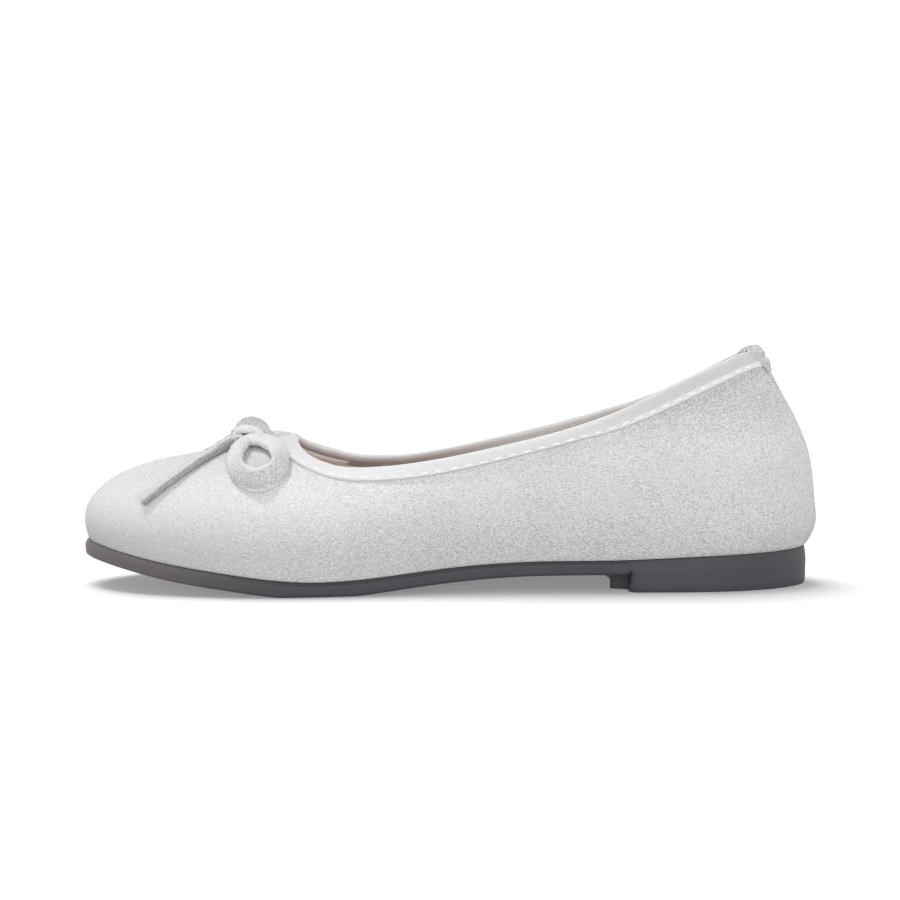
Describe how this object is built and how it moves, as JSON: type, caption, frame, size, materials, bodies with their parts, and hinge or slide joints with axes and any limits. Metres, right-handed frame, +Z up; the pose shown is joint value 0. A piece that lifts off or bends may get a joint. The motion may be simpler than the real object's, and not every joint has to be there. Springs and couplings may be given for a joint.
{
  "type": "ballet flat",
  "caption": "Low women's slip-on ballet flat: suede upper with round toe, ribbed ribbon binding rolled over the topline, strap bow on the vamp, heel tab and moulded rubber sole with low heel.",
  "frame": {"origin": "middle of the shoe's length and width on the floor under its sole", "axes": "+X towards the heel along the shoe, +Y towards the lateral (outer) side, +Z up"},
  "size_m": [0.2458, 0.079, 0.0801],
  "materials": {
    "suede": "pale grey micro-suede nap",
    "ribbon": "near-white ribbed ribbon",
    "rubber": "matt dark brown-grey",
    "footbed": "matt taupe cover"
  },
  "bodies": {
    "root": {"outsole": "rubber", "insole": "footbed", "upper": "suede", "topline_binding": "ribbon", "heel_tab": "suede", "bow_knot": "suede", "bow_loop_medial": "suede", "bow_loop_lateral": "suede", "bow_tail_medial": "suede", "bow_tail_lateral": "suede"}
  },
  "joints": []
}
